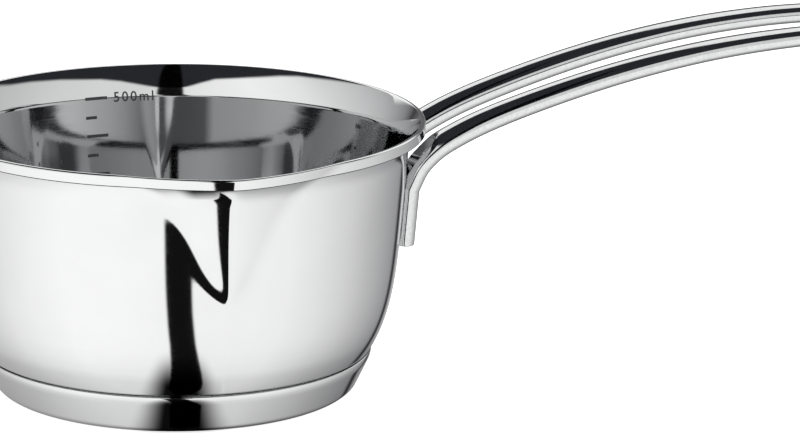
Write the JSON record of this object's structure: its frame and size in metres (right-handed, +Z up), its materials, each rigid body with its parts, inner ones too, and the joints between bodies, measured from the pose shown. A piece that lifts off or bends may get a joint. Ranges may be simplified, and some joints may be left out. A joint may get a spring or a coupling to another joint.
{
  "type": "saucepan",
  "caption": "Small polished steel milk saucepan with a flared pouring lip, a pressed spout, a capsule base with an aluminium core and an open twin-bar handle.",
  "frame": {"origin": "middle of the flat underside of the base", "axes": "+X along the handle, +Z up out of the pan's mouth, the spout faces -Y"},
  "size_m": [0.2811, 0.1305, 0.0877],
  "materials": {
    "polished_steel": "mirror polished stainless steel",
    "handle_steel": "mirror polished stainless steel",
    "aluminium_core": "mill finish, enclosed",
    "braze": "braze metal, enclosed",
    "weld": "as welded"
  },
  "bodies": {
    "root": {"base_cap": "polished_steel", "braze_lower": "braze", "heat_core": "aluminium_core", "braze_upper": "braze", "pan_body": "polished_steel", "handle": "handle_steel", "weld_front_lower": "weld", "weld_front_upper": "weld", "weld_back_lower": "weld", "weld_back_upper": "weld"}
  },
  "joints": []
}
